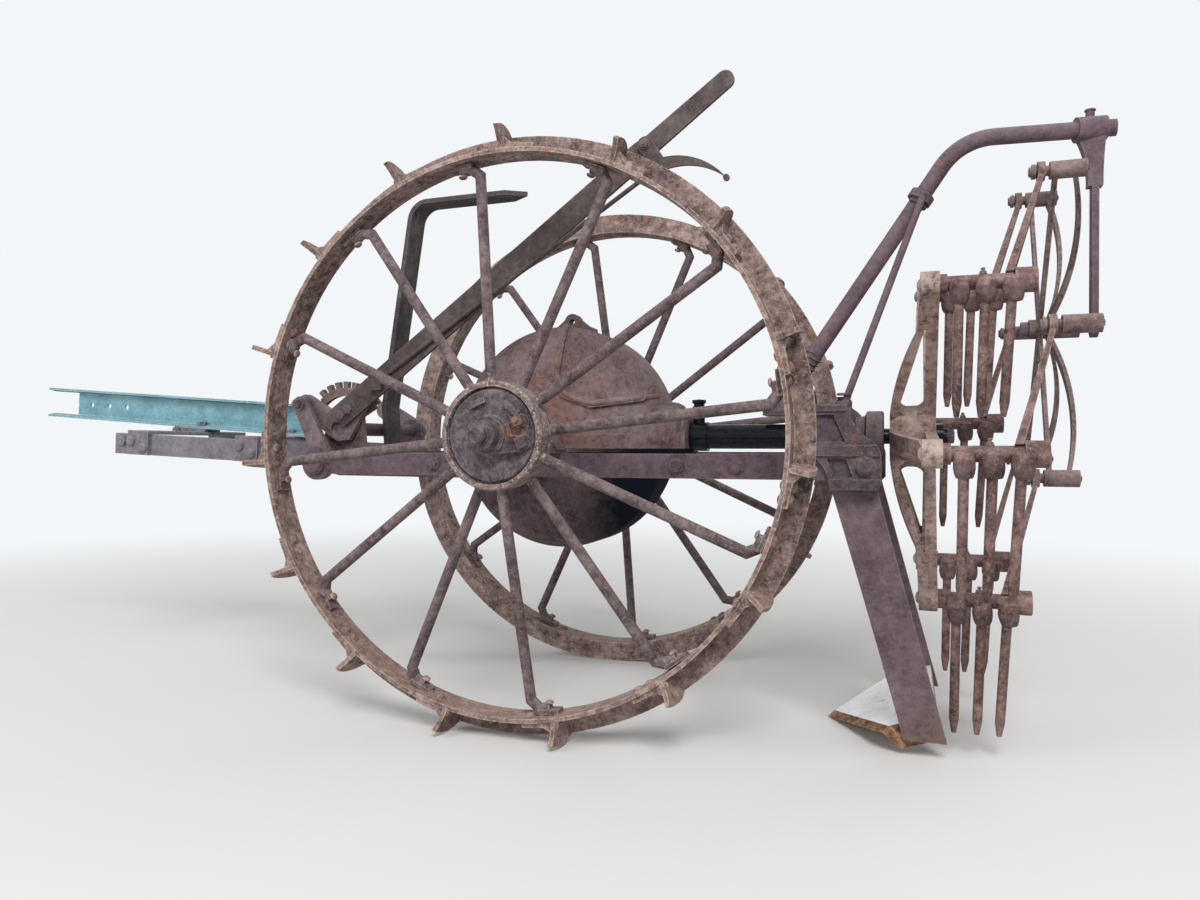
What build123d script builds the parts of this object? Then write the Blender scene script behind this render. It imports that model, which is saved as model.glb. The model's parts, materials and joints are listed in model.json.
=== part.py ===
from build123d import *
import os
from math import atan2, cos, degrees, radians, sin, sqrt

# Two-wheeled potato digger with a feathering tine rotor.
# Millimetres, +X forward to the drawbar, +Y to the machine's left, +Z up.
# Everything is laid out from the centre of the wheel axle. Each piece is
# shifted on export, so that the floor is Z 0 and the box's middle is X 0, Y 0.

RUN = 0.05               # running clearance on the radius
SEAT = 0.3               # clearance between pieces bolted together
LOOSE = 5.0              # least gap between parts that pass each other

# Wheels
STRIP_R = 520.0          # outside of the flat tyre strip
STRIP_T = 8.0
GAP_HALF = 288.0         # middle of the machine to the tyre's inner edge
STRIP_W = 60.0
FLANGE_R = 556.0         # outside of the upright rib on the inner edge
FLANGE_T = 8.0
LUG_COUNT = 15
LUG_RISE = 44.0          # height of a lug over the strip
LUG_T = 9.0
LUG_OVERHANG = 25.0
LUG_SKEW = 6.0
LUG_FOOT = 66.0          # length of its foot behind the blade
SPOKE_COUNT = 12
SPOKE_R = 10.0
SPOKE_PHASE = 6.0
FOOT_L = 50.0
DRUM_R = 98.0
DRUM_IN = 322.0          # inner and outer face of the hub drum
DRUM_OUT = 383.0
AXLE_R = 22.0
AXLE_TIP_R = 16.0
AXLE_END = 440.0

# Digging frame
BAR_Y = 200.0            # middle of each side bar
BAR_T = 12.0
BAR_H = 46.0
BAR_Z = -56.0
EYE_R = 36.0
PIN_X = 500.0            # front eyes of the side bars
BAR_REAR = -640.0
CAST_FRONT = -505.0
CAST_REAR = -657.0
CAST_TOP = 54.0
CAST_BOTTOM = -94.0
CHEEK_T = 14.0
STALK_T = 14.0
STALK_FOOT = 31.0        # height of the standards' feet over the floor

# Gear casing
CASE_R = 235.0
CASE_HALF = 44.0         # half of its width at the seam, and at the middle
DOME_HALF = 110.0
CASE_WALL = 9.0
SPLIT_Z = -24.0
BAND_LOW = SPLIT_Z - 8   # flanges of the two halves, thicker on the upper one
BAND_TOP = SPLIT_Z + 29
NOSE_END = -276.0
SHAFT_R = 15.0
TUBE_R = 25.0            # fixed tube round the shaft, from the nose to the bearing
TUBE_END = -560.0
CUP_X = -292.0

# Rotor
ROTOR_R = 316.0          # radius of the six fork bearings
ROTOR_PHASE = -5.5       # angle of the first fork from +Y, upwards
FORK_COUNT = 6
HUB_FRONT = -668.0
ARM_REAR = -750.0        # rear face of the spider
FORK_REAR = -900.0
TINE_X = -780.0          # first tine, and the step to the next two
TINE_STEP = -41.0
TINE_R = 8.0
TINE_L = 228.0
TINE_Y = 20.0            # the tines stand off the left of the fork's shaft

# Control star, set off from the rotor's axis so that the forks stay upright
STAR_Y = -120.0
STAR_Z = 210.0
RING_X = -921.0          # rings of the fork levers, just ahead of the star
RING_T = 12.0
PIN_R = 9.0
RING_R = PIN_R + 8
STAR_L = 58.0
STAR_FRONT = RING_X - 14
STAR_REAR = STAR_FRONT - STAR_L
HANGER_X = STAR_REAR - 46
PIPE_R = 16.0
PIPE_FOOT = -462.0
PIPE_BEND = -797.0
PIPE_END = -1077.0
PIPE_TOP = 592.0

# Drawbar frame, hinged on the axle, and the rock shaft that tilts it
FORE_Y = 150.0           # middle of each of its bars
FORE_FRONT = 1123.0
FORE_TOP = 12.5          # height of the bars' front end
FORE_PITCH = 2.6
FORE_H = 50.0
BEAM_FRONT = 1511.0
BEAM_Z = 100.0           # middle of the beam's front end
BEAM_PITCH = 4.05
BEAM_H = 78.0
BEAM_W = 46.0
BEAM_L = 848.0
HITCH_R = 7.0
HITCH_BACK = 133.0       # first of three holes, and their spacing
HITCH_STEP = 61.0
CROSS_T = 8.0
CROSS_W = 62.0
CROSS_BACK = 47.0        # front cross behind the bars' front end
CROSS_SWELL = 47.0
ROCK = (474.0, 18.0)     # rock shaft
ROCK_R = 15.0
LINK_TOP = (563.0, 72.0)
LEVER_FOOT = (478.0, 38.0)
LEVER_GRIP = (-215.0, 543.0)
LEVER_TIP = (-378.0, 662.0)
CRANK_IN = 150.0        # inner faces of the cranks and of the lift links
CRANK_T = 12.0
LINK_IN = 170.0
LINK_T = 12.0
LIFT_PIN_R = 15.0
TOOTH_R = 105.0
TOOTH_DEPTH = 14.0
TOOTH_PITCH = 12.65      # degrees
SEAT_W = 60.0
SEAT_T = 10.0

GROUND = -FLANGE_R
FRONT_END = BEAM_FRONT + BEAM_H / 2 * sin(radians(BEAM_PITCH))
RIGHT_END = STAR_Y - ROTOR_R * cos(radians(ROTOR_PHASE)) - RING_R
SHIFT = Pos(-(FRONT_END + PIPE_END) / 2, -(AXLE_END + RIGHT_END) / 2, -GROUND)


def block(x0, x1, y0, y1, z0, z1):
    middle = Pos((x0 + x1) / 2, (y0 + y1) / 2, (z0 + z1) / 2)
    return middle * Box(abs(x1 - x0), abs(y1 - y0), abs(z1 - z0))


def along_x(r, x0, x1, y=0.0, z=0.0):
    return Pos((x0 + x1) / 2, y, z) * Rot(0, 90, 0) * Cylinder(r, abs(x1 - x0))


def along_y(r, y0, y1, x=0.0, z=0.0):
    return Pos(x, (y0 + y1) / 2, z) * Rot(90, 0, 0) * Cylinder(r, abs(y1 - y0))


def rod(p, q, r):
    p, q = Vector(*p), Vector(*q)
    bottom = (Align.CENTER, Align.CENTER, Align.MIN)
    return Plane(origin=p, z_dir=q - p) * Cylinder(r, (q - p).length, align=bottom)


def turned_y(points):
    """Solid of revolution about the axle from (radius, y) points."""
    return revolve(make_face(Polyline(*points, close=True)), axis=Axis.Y)


def turned_x(points):
    """Solid of revolution about the rotor's shaft from (x, radius) points."""
    return revolve(make_face(Polyline(*points, close=True)), axis=Axis.X)


def turned_z(points):
    """Solid of revolution about Z from (radius, z) points."""
    upright = Plane.XZ * make_face(Polyline(*points, close=True))
    return revolve(upright, axis=Axis.Z)


def slab(face, y0, y1):
    """Face drawn in X and Z, given its thickness from y0 to y1."""
    return extrude(Plane.XZ.offset(-y1) * face, amount=y1 - y0)


def plate(points, y0, y1):
    return slab(make_face(Polyline(*points, close=True)), y0, y1)


def strap(p, q, width, y0, y1, far_width=None):
    """Flat bar with round ends between two points of the XZ plane."""
    far_width = far_width or width
    dx, dz = q[0] - p[0], q[1] - p[1]
    length = sqrt(dx * dx + dz * dz)
    ux, uz = dx / length / 2, dz / length / 2
    side = plate([(p[0] - uz * width, p[1] + ux * width), (p[0] + uz * width, p[1] - ux * width),
                  (q[0] + uz * far_width, q[1] - ux * far_width),
                  (q[0] - uz * far_width, q[1] + ux * far_width)], y0, y1)
    return side + along_y(width / 2, y0, y1, *p) + along_y(far_width / 2, y0, y1, *q)


def across(shape):
    return mirror(shape, about=Plane.XZ)


def save(shape, name):
    shape = SHIFT * shape
    shape.label = name
    export_step(shape, "parts/" + name + ".step")


def save_pair(shape, name):
    save(shape, name.replace("SIDE", "left"))
    save(across(shape), name.replace("SIDE", "right"))


# Wheels

def make_lug():
    """Spade blade across the rim on a riveted foot, at the top of the wheel."""
    out = GAP_HALF + STRIP_W
    top = STRIP_R + LUG_RISE
    tip = (out + LUG_OVERHANG, top - 9)
    low = STRIP_R - 4
    edge = [Line((GAP_HALF + 2, low), (GAP_HALF + 2, top - 10)),
            ThreePointArc((GAP_HALF + 2, top - 10), (GAP_HALF + 38, top), tip),
            ThreePointArc(tip, (out + 7, STRIP_R + 15), (out - 3, low)),
            Line((out - 3, low), (GAP_HALF + 2, low))]
    blade = extrude(Plane.YZ.offset(-LUG_T / 2) * make_face(edge), amount=LUG_T)
    middle = Pos(0, GAP_HALF + STRIP_W / 2, 0)
    blade = middle * Rot(0, 0, LUG_SKEW) * Pos(0, -GAP_HALF - STRIP_W / 2, 0) * blade
    foot = plate([(6, low), (6, STRIP_R + 9), (-LUG_T, STRIP_R + 21), (-24, STRIP_R + 9),
                  (-LUG_FOOT, STRIP_R + 4), (-LUG_FOOT, low - 4)], GAP_HALF + 11, out - 3)
    return blade + foot


def make_tyre():
    out = GAP_HALF + STRIP_W
    tyre = turned_y([(STRIP_R - STRIP_T, GAP_HALF), (FLANGE_R, GAP_HALF), (FLANGE_R, GAP_HALF + 5),
                     (STRIP_R, GAP_HALF + FLANGE_T + 2), (STRIP_R, out), (STRIP_R - STRIP_T, out)])
    lug = make_lug()
    for i in range(LUG_COUNT):
        tyre = tyre + Rot(0, 180 + 360 * (i + 0.5) / LUG_COUNT, 0) * lug
    return tyre


def make_hub():
    """Drum and spokes; the spokes' outer ends are bent along the tyre."""
    lip = DRUM_OUT
    hub = turned_y([(AXLE_R + RUN, 302), (42, 302), (50, DRUM_IN), (DRUM_R - 6, DRUM_IN), (DRUM_R, DRUM_IN + 8),
                    (DRUM_R, lip - 3), (DRUM_R - 3, lip), (DRUM_R - 10, lip), (DRUM_R - 12, lip - 14),
                    (AXLE_R + RUN, lip - 14)])
    rim_y = GAP_HALF + STRIP_W / 2
    seat_r = STRIP_R - STRIP_T - SEAT
    turn = SPOKE_R * 1.6
    for i in range(SPOKE_COUNT):
        row = DRUM_IN + (14 if i % 2 else 36)
        bend = Vector(0, rim_y, seat_r - SPOKE_R - turn)
        heel = Vector(turn, rim_y, seat_r - SPOKE_R - 1)
        toe = Vector(FOOT_L - 12, rim_y, seat_r - SPOKE_R - 1)
        path = Polyline((0, row, DRUM_R - 12), bend, heel, toe)
        spoke = sweep(Plane(path @ 0, z_dir=path % 0) * Circle(SPOKE_R), path=path, transition=Transition.RIGHT)
        foot = block(turn - 4, FOOT_L + 6, rim_y - 13, rim_y + 13, seat_r - 11, seat_r - 3)
        hub = hub + Rot(0, SPOKE_PHASE + 360 * i / SPOKE_COUNT, 0) * (spoke + foot)
    return hub


def make_cover():
    """Cover plate with the axle's collar, a pawl plate and two square studs."""
    back = DRUM_OUT - 14 + SEAT
    face = DRUM_OUT - 4
    bore = AXLE_R + RUN
    cover = turned_y([(bore, back), (DRUM_R - 15, back), (DRUM_R - 14, face - 3), (DRUM_R - 17, face),
                      (38, face), (36, face + 4), (27, face + 4), (26, AXLE_END - 18), (bore, AXLE_END - 18)])
    pawl = along_y(34, face - 1, face + 18) + strap((-8, -14), (-62, -14), 40, face - 1, face + 12, 26)
    cover = cover + (pawl - along_y(24, 300, AXLE_END))
    for x, z, size in ((-65, -12, 18), (-59, 26, 16)):
        cover = cover + along_y(size * 0.8, face - 1, face + 5, x, z)
        cover = cover + Pos(x, face + 9, z) * Rot(0, 20, 0) * Box(size, 20, size)
    bar = block(-17, 17, face - 1, face + 7, 58, 68)
    cover = cover + Rot(0, 24, 0) * bar + Rot(0, -40, 0) * bar
    return cover


# Middle of the machine

def make_axle():
    half = turned_y([(0, 0), (AXLE_R, 0), (AXLE_R, AXLE_END - 17), (AXLE_TIP_R, AXLE_END - 15),
                     (AXLE_TIP_R, AXLE_END - 3), (AXLE_TIP_R - 3, AXLE_END), (0, AXLE_END)])
    return half + across(half)


def dome(grow):
    """One half of the lens-shaped casing, grown all over."""
    face = make_face([
        Line((0, -1), (CASE_R + grow, -1)),
        Line((CASE_R + grow, -1), (CASE_R + grow, CASE_HALF + grow)),
        ThreePointArc((CASE_R + grow, CASE_HALF + grow), (168 + grow, 84 + grow), (90, DOME_HALF + grow)),
        Line((90, DOME_HALF + grow), (0, DOME_HALF + grow)),
        Line((0, DOME_HALF + grow), (0, -1))])
    return revolve(face, axis=Axis.Y)


def make_case():
    """Both halves of the hollow casing, with its nose over the pinion shaft."""
    body = dome(0) + across(dome(0))
    nose = turned_x([(-120, 0), (-120, 96), (-187, 80), (-248, 71), (-258, 66), (-263, 55), (-266, 58),
                     (-271, 57), (NOSE_END, 50), (NOSE_END, 0)])
    sleeve = along_y(36, -FORE_Y + 6 + LOOSE, FORE_Y - 6 - LOOSE)
    inside = dome(-CASE_WALL) + across(dome(-CASE_WALL))
    inside = inside + turned_x([(-120, 0), (-120, 86), (-187, 70), (-246, 60), (-256, 44), (-266, 36), (-266, 0)])
    inside = inside - along_y(36, -200, 200) - along_x(28, -250, -400)

    slot = block(-CASE_R - 60, CASE_R + 12, -160, 160, BAND_LOW, BAND_TOP)
    lip = (dome(12) + across(dome(12))) & slot
    lip = lip + block(NOSE_END + 12, -150, -66, 66, BAND_LOW, BAND_TOP)
    lip = lip + block(NOSE_END, NOSE_END + 20, -62, 62, BAND_LOW - 2, BAND_TOP + 4)
    ear = strap((-14, CASE_R - 8), (-14, CASE_R + 15), 34, -12, 12)
    ear = ear - along_y(6, -20, 20, -14, CASE_R + 15)

    # raised seam: down the side from the ear, then back towards the nose
    bends = ((-14, CASE_R), (-14, 128), (-34, 88), (-92, 66), (-190, 80))
    seam = strap(bends[0], bends[1], 14, -200, 200)
    for p, q in zip(bends[1:], bends[2:]):
        seam = seam + strap(p, q, 14, -200, 200)
    seam = seam & (dome(6) + across(dome(6)))

    case = body + nose + sleeve + lip + ear + seam
    hole = along_y(AXLE_R + SEAT, -200, 200) + along_x(SHAFT_R + RUN, -400, -200)
    return case - inside - hole


def make_shaft_tube():
    """Tube round the rotor's shaft, with its oil cup."""
    tube = along_x(TUBE_R, NOSE_END - SEAT, TUBE_END + SEAT)
    tube = tube + along_x(TUBE_R + 5, NOSE_END - SEAT, CUP_X - 20)
    cup = turned_z([(0, 10), (12, 10), (12, 46), (14.5, 48), (14.5, 62), (11, 64), (11, 68), (14.5, 70),
                    (14.5, 76), (0, 78)])
    return tube + Pos(CUP_X, 0, 0) * cup - along_x(SHAFT_R + LOOSE, -200, -600)


def make_side_bar():
    y0, y1 = BAR_Y - BAR_T / 2, BAR_Y + BAR_T / 2
    bar = block(BAR_REAR, PIN_X, y0, y1, BAR_Z - BAR_H / 2, BAR_Z + BAR_H / 2)
    bar = bar + along_y(EYE_R, y0 - 2, y1 + 3, PIN_X, BAR_Z)
    return bar - along_y(LIFT_PIN_R + SEAT, y0 - 5, y1 + 5, PIN_X, BAR_Z)


def make_axle_bracket():
    """Plummer block on the side bar, bolted to its inner face."""
    y0, y1 = BAR_Y - BAR_T / 2, BAR_Y + BAR_T / 2
    low, top = BAR_Z - BAR_H / 2, BAR_Z + BAR_H / 2
    block_y = (y0 - 14, y1 + 14)
    body = along_y(40, *block_y) + plate([(-72, low + 4), (72, low + 4), (66, top + 8), (38, 6),
                                          (-38, 6), (-66, top + 8)], *block_y)
    body = body - along_y(AXLE_R + SEAT, 100, 300)
    return body - block(-90, 90, y0 - SEAT, y1 + 40, BAR_Z - 60, top + SEAT)


def make_lift_pin():
    y1 = BAR_Y + BAR_T / 2 + 3 + SEAT
    pin = along_y(LIFT_PIN_R, LINK_IN - 4, y1 + 12, PIN_X, BAR_Z)
    return pin + along_y(23, y1, y1 + 8, PIN_X, BAR_Z) + along_y(19, y1 + 7, y1 + 12, PIN_X, BAR_Z)


def make_rear_casting():
    """Top plate, two panelled cheeks outside the bars, web and bearing."""
    y0 = BAR_Y + BAR_T / 2 + SEAT
    y1 = y0 + CHEEK_T
    shoulder, waist, heel = (-598, CAST_TOP - 4), (-646, -13), (CAST_REAR, -42)
    outline = make_face([
        Line((CAST_FRONT, CAST_TOP - 4), shoulder), ThreePointArc(shoulder, (-612, 20), waist),
        ThreePointArc(waist, (-654, -24), heel), Line(heel, (CAST_REAR, -86)),
        Line((CAST_REAR, -86), (CAST_REAR + 8, CAST_BOTTOM)), Line((CAST_REAR + 8, CAST_BOTTOM), (-572, CAST_BOTTOM)),
        ThreePointArc((-572, CAST_BOTTOM), (-562, -58), (-540, -34)), Line((-540, -34), (CAST_FRONT, -26)),
        Line((CAST_FRONT, -26), (CAST_FRONT, CAST_TOP - 4))])
    cheek = slab(outline, y0, y1)
    for panel in ([(-522, 36), (-578, 36), (-598, -12), (-522, -12)],
                  [(-567, -40), (-599, -40), (-610, -73), (-577, -73)]):
        cheek = cheek - plate(panel, y1 - 7, y1 + 5)
    proud = slab(outline, y1 - 1, y1 + 4)
    for z0, z1 in ((CAST_BOTTOM, CAST_BOTTOM + 18), (-36, -17)):
        cheek = cheek + (proud & block(-400, -700, 0, 400, z0, z1))
    cheek = cheek + along_y(18, y1 - 1, y1 + 3, -630, -51) + along_y(15, y1, y1 + 9, -630, -51)
    low = BAR_Z - BAR_H / 2 - SEAT
    inner = y0 - BAR_T - 2 * SEAT - STALK_T
    cheek = cheek + block(-578, CAST_REAR + 10, inner + STALK_T + SEAT, y0 + 1, CAST_BOTTOM, low)

    top = block(CAST_FRONT, -600, -y1 - 3, y1 + 3, CAST_TOP - 12, CAST_TOP)
    top = fillet(top.edges().filter_by(Axis.X).group_by(Axis.Z)[-1], 4)
    tongue = block(PIPE_FOOT + 34, CAST_FRONT, -34, 34, CAST_TOP - 12, CAST_TOP)
    web = block(-606, -592, -inner + 8, inner - 8, -84, CAST_TOP - 6)
    web = web + block(-606, -592, -y1 + 1, y1 - 1, 8, CAST_TOP - 6)
    rib = plate([(-600, CAST_TOP - 6), (CAST_FRONT - 6, CAST_TOP - 6), (-600, -70)], -6, 6)
    bearing = turned_x([(-560, 0), (-560, 34), (-600, 36), (-622, 40), (-626, 49), (CAST_REAR + 3, 49),
                        (CAST_REAR, 46), (CAST_REAR, 0)])
    casting = cheek + across(cheek) + top + tongue + web + rib + bearing
    casting = casting - along_x(TUBE_R + SEAT, CAST_FRONT + 60, TUBE_END)
    return casting - along_x(SHAFT_R + RUN, CAST_FRONT + 60, CAST_REAR - 20)


def make_standard():
    """Broad blade that carries the share, bolted inside the side bar."""
    y1 = BAR_Y - BAR_T / 2 - SEAT
    foot = GROUND + STALK_FOOT
    side = make_face([
        Line((-566, -20), (-650, -20)), Line((-650, -20), (-650, CAST_BOTTOM)),
        ThreePointArc((-650, CAST_BOTTOM), (-716, -345), (-764, foot)),
        Line((-764, foot), (-694, foot)),
        ThreePointArc((-694, foot), (-640, -330), (-572, CAST_BOTTOM)),
        Line((-572, CAST_BOTTOM), (-566, -20))])
    return slab(side, y1 - STALK_T, y1)


def make_share():
    """Pointed plate that slopes up to the rotor, with a bracket under each side."""
    half = BAR_Y - BAR_T / 2 - 2 * SEAT - STALK_T
    nose, shoulder, rear = -553.0, -662.0, -762.0
    slope = degrees(atan2(71, nose - rear))
    outline = Polyline((0, 0), (shoulder - nose, half), (rear - nose, half),
                       (rear - nose, -half), (shoulder - nose, -half), close=True)
    blade = extrude(make_face(outline), amount=9)
    edge = blade.edges().group_by(Axis.Z)[-1].sort_by(Axis.X)[-2:]
    blade = chamfer(edge, 8, 14)
    share = Pos(nose, 0, GROUND) * Rot(0, slope, 0) * blade
    arm = plate([(-656, -518), (-748, -487), (-752, -523), (-690, -545)], half - 12, half)
    return share + arm + across(arm)


# Rotor

def make_spider():
    """Six arms, each of two strands that part towards the hub."""
    hub = turned_x([(HUB_FRONT, 0), (HUB_FRONT, 46), (-690, 58), (ARM_REAR + 10, 60), (ARM_REAR, 52), (ARM_REAR, 0)])
    boss_front = ARM_REAR + 31
    side = make_face([
        Line((ARM_REAR, 30), (ARM_REAR, ROTOR_R)), Line((ARM_REAR, ROTOR_R), (boss_front, ROTOR_R)),
        Line((boss_front, ROTOR_R), (boss_front + 4, 222)),
        ThreePointArc((boss_front + 4, 222), (-680, 118), (HUB_FRONT, 44)),
        Line((HUB_FRONT, 44), (HUB_FRONT, 30)), Line((HUB_FRONT, 30), (ARM_REAR, 30))])
    window = make_face([
        Line((-730, 72), (-730, 236)), Line((-730, 236), (-727, 236)),
        ThreePointArc((-727, 236), (-700, 132), (-684, 72)),
        ThreePointArc((-684, 72), (-707, 57), (-730, 72))])
    arm = slab(side, -13, 13) - slab(window, -20, 20)
    arm = arm + along_x(23, ARM_REAR, boss_front, 0, ROTOR_R)
    arm = arm - along_x(12 + RUN, ARM_REAR - 10, boss_front + 10, 0, ROTOR_R)
    spider = hub
    for i in range(FORK_COUNT):
        spider = spider + Rot(ROTOR_PHASE + 360 / FORK_COUNT * i - 90, 0, 0) * arm
    return spider - along_x(SHAFT_R + SEAT, -600, -800)


def make_fork():
    """Shaft with three hanging tines and the lever up to the control star."""
    fork = along_x(12, ARM_REAR + 30, ARM_REAR - 2) + along_x(13, ARM_REAR - SEAT, FORK_REAR + 34)
    fork = fork + along_x(17, ARM_REAR - SEAT, ARM_REAR - 12) + along_x(21, FORK_REAR + 34, FORK_REAR)
    tine = turned_z([(0, 4), (10, 4), (14, 0), (15.5, -8), (15.5, -20), (12, -30), (TINE_R, -38),
                     (TINE_R, 24 - TINE_L), (4, -TINE_L), (0, -TINE_L)])
    for i, lean in enumerate((1.0, 2.0, 3.5)):
        fork = fork + Pos(TINE_X + TINE_STEP * i, TINE_Y, 0) * Rot(0, -lean, 0) * tine
        fork = fork + along_y(9, 0, TINE_Y, TINE_X + TINE_STEP * i, -8)
    root = Plane(origin=(FORK_REAR + 42, 0, 0), x_dir=(1, 0, 0), z_dir=(0, STAR_Y, STAR_Z))
    reach = sqrt(STAR_Y ** 2 + STAR_Z ** 2)
    lean = RING_X - FORK_REAR - 42
    lever = loft(Sketch() + [root * Pos(0, 0, 8) * Rectangle(13, 34),
                             root.offset(reach - 12) * Pos(lean, 0) * Rectangle(9, 18)])
    return fork, lever


def make_fork_set():
    """All six forks; each lever ends in a ring round a pin of the star."""
    fork, lever = make_fork()
    ring = along_x(RING_R, RING_X - RING_T / 2, RING_X + RING_T / 2, STAR_Y, STAR_Z)
    eye = along_x(PIN_R + 0.4, RING_X - 20, RING_X + 20, STAR_Y, STAR_Z)
    fork = fork + lever + ring - eye
    forks = []
    for i in range(FORK_COUNT):
        a = radians(ROTOR_PHASE + 360 / FORK_COUNT * i)
        forks.append(Pos(0, ROTOR_R * cos(a), ROTOR_R * sin(a)) * fork)
    return forks


def make_star():
    """Hub tube and six bosses, each held by two thin flat bars."""
    star = along_x(19, STAR_FRONT + 10, STAR_REAR - 20)
    bar = plate([(STAR_FRONT - 6, 12), (STAR_FRONT - 13, 12), (STAR_FRONT - 13, ROTOR_R), (STAR_FRONT - 6, ROTOR_R)],
                -10, 10)
    root, far = STAR_REAR + 32, STAR_REAR + 16
    bow = slab(make_face([
        ThreePointArc((root, 14), (STAR_REAR, ROTOR_R / 2), (far, ROTOR_R)),
        Line((far, ROTOR_R), (far + 7, ROTOR_R)),
        ThreePointArc((far + 7, ROTOR_R), (STAR_REAR + 7, ROTOR_R / 2), (root + 7, 14)),
        Line((root + 7, 14), (root, 14))]), -10, 10)
    arm = bar + bow + along_x(15.5, STAR_FRONT, STAR_REAR, 0, ROTOR_R)
    arm = arm + along_x(PIN_R, STAR_FRONT - 5, RING_X + RING_T / 2 + 12, 0, ROTOR_R)
    arm = arm + along_x(13, RING_X + RING_T / 2 + 3, RING_X + RING_T / 2 + 9, 0, ROTOR_R)
    for i in range(FORK_COUNT):
        star = star + Rot(ROTOR_PHASE + 360 / FORK_COUNT * i - 90, 0, 0) * arm
    star = star - along_x(10 + RUN, STAR_FRONT + 30, STAR_REAR - 30)
    return Pos(0, STAR_Y, STAR_Z) * star


# Pipe arm over the rotor

def pipe_point(x):
    """Middle of the pipe at X, on its leaning part or past its bend."""
    y = STAR_Y * (x - PIPE_FOOT) / (HANGER_X - PIPE_FOOT)
    foot = CAST_TOP + 14
    bend_z = PIPE_TOP - 10
    if x > PIPE_BEND:
        return Vector(x, y, foot + (bend_z - foot) * (PIPE_FOOT - x) / (PIPE_FOOT - PIPE_BEND))
    return Vector(x, y, bend_z + 10 * (PIPE_BEND - x) / (PIPE_BEND - PIPE_END))


def make_pipe():
    path = FilletPolyline(*[pipe_point(x) for x in (PIPE_FOOT, PIPE_BEND, PIPE_END - 8)], radius=125)
    pipe = sweep(Plane(path @ 0, z_dir=path % 0) * Circle(PIPE_R), path=path)
    foot = block(PIPE_FOOT - 30, PIPE_FOOT + 30, -30, 30, CAST_TOP + SEAT, CAST_TOP + 12)
    start = Vector(PIPE_FOOT, 0, CAST_TOP + 2)
    collar = Plane(origin=start, z_dir=path % 0) * Cylinder(24, 72)
    pipe = pipe + foot + collar - block(-900, PIPE_FOOT + 200, -90, 90, -100, CAST_TOP + SEAT)
    return pipe - block(PIPE_END, PIPE_END - 60, -200, 0, PIPE_TOP - 60, PIPE_TOP + 60)


def make_hanger():
    """Clamp on the pipe's end and the flat bar down to the star's stub."""
    y = STAR_Y
    clamp = rod(pipe_point(HANGER_X + 34), pipe_point(HANGER_X - 18), 24)
    bore = rod(pipe_point(HANGER_X + 60), pipe_point(HANGER_X - 60), PIPE_R + SEAT)
    screw = Pos(HANGER_X + 8, y, PIPE_TOP + 28) * Cylinder(8, 14)
    head, neck = PIPE_TOP - 16, PIPE_TOP - 113
    web = slab(make_face([
        Line((HANGER_X + 32, head), (HANGER_X - 18, head)),
        ThreePointArc((HANGER_X - 18, head), (HANGER_X - 14, head - 50), (HANGER_X - 13, neck)),
        Line((HANGER_X - 13, neck), (HANGER_X + 13, neck)),
        ThreePointArc((HANGER_X + 13, neck), (HANGER_X + 17, head - 45), (HANGER_X + 32, head))]), y - 13, y + 13)
    bar = block(HANGER_X - 6, HANGER_X + 6, y - 14, y + 14, STAR_Z, neck + 9)
    end = along_x(20, HANGER_X - 6, HANGER_X + 6, y, STAR_Z)
    stub = along_x(10, HANGER_X, STAR_FRONT + 20, y, STAR_Z) + along_x(15, STAR_FRONT + 12, STAR_FRONT + 24, y, STAR_Z)
    return clamp + web - bore + screw + bar + end + stub


def make_brace():
    """Round brace from the casting's top plate to an eye round the pipe."""
    top = pipe_point(-724)
    run = pipe_point(PIPE_BEND) - pipe_point(PIPE_FOOT)
    eye = Plane(origin=top, z_dir=run) * (Cylinder(24, 16) - Cylinder(PIPE_R + SEAT, 40))
    foot = Vector(-584, 24, CAST_TOP + SEAT)
    brace = rod(foot + Vector(0, 0, 7), top + Vector(-6, 24, 4), 7)
    return eye + brace + Pos(foot.X, foot.Y, foot.Z + 7) * Cylinder(15, 14)


# Drawbar frame

def pitched(x, z):
    """X and Z of a point given from the upper front corner of the bars."""
    a = radians(FORE_PITCH)
    return (FORE_FRONT + x * cos(a) - z * sin(a), FORE_TOP + x * sin(a) + z * cos(a))


BEAM = Pos(BEAM_FRONT, 0, BEAM_Z) * Rot(0, -BEAM_PITCH, 0)
FRAME = Pos(FORE_FRONT, 0, FORE_TOP) * Rot(0, -FORE_PITCH, 0)


def make_beam():
    half_h, half_w, flange = BEAM_H / 2, BEAM_W / 2, 5.5
    section = make_face(Polyline(
        (half_w, half_h), (-half_w, half_h), (-half_w, half_h - flange), (-3, half_h - flange - 4),
        (-3, 4 + flange - half_h), (-half_w, flange - half_h), (-half_w, -half_h), (half_w, -half_h),
        (half_w, flange - half_h), (3, 4 + flange - half_h), (3, half_h - flange - 4),
        (half_w, half_h - flange), close=True))
    beam = extrude(Plane.YZ * section, amount=-BEAM_L)
    beam = beam - block(-86, 1, -4, 4, flange + 4 - half_h, half_h - flange - 4)
    for i in range(3):
        beam = beam - along_y(HITCH_R, -10, 10, -HITCH_BACK - HITCH_STEP * i, 0)
    return BEAM * beam


def make_fore_bar():
    y0, y1 = FORE_Y - 6, FORE_Y + 6
    bar = plate([pitched(0, 0), pitched(0, -FORE_H), pitched(-563, -FORE_H),
                 (480, -84), (92, -86), (-22, -34), (22, 32), (112, -38), (480, -38),
                 pitched(-563, 0)], y0, y1)
    bar = bar + along_y(38, y0, y1)
    return bar - along_y(AXLE_R + RUN, y0 - 5, y1 + 5)


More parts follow.
